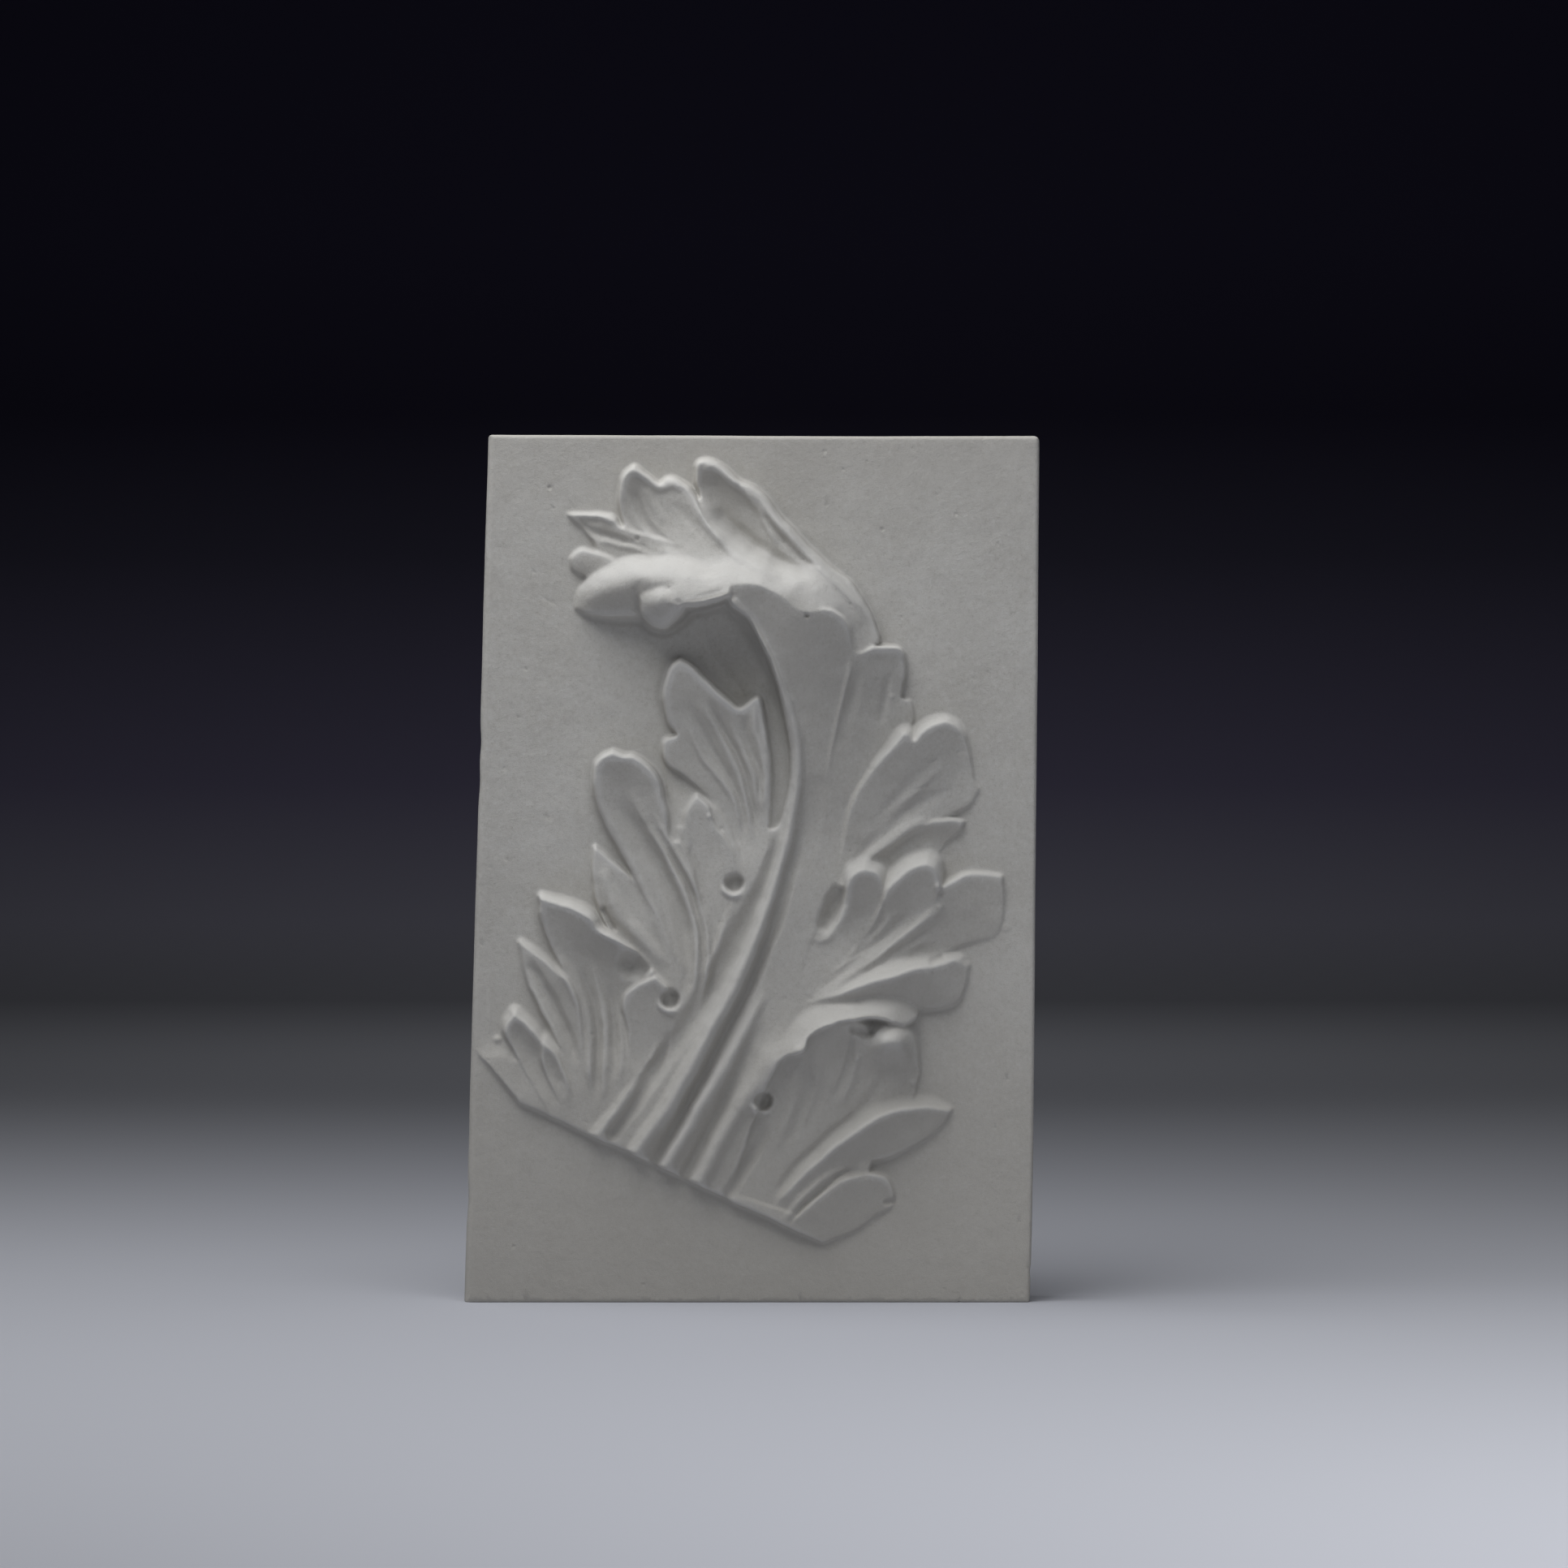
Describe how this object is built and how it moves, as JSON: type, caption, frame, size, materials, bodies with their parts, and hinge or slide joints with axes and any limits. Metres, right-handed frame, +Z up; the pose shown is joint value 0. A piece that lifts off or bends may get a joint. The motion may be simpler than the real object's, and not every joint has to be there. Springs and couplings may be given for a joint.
{
  "type": "plaster bas-relief",
  "caption": "Plaster cast of an acanthus leaf fragment in medium-high relief on a plain upright slab that stands on its lower edge, with a flat back for fixing.",
  "frame": {"origin": "middle of the cast's bounding box in X and Y, on the slab's underside", "axes": "+Z up the slab, +X to the viewer's right, the relief faces -Y and the flat back +Y"},
  "size_m": [0.3252, 0.0817, 0.489],
  "materials": {
    "plaster": "matte"
  },
  "bodies": {
    "root": {"acanthus_relief": "plaster"}
  },
  "joints": []
}
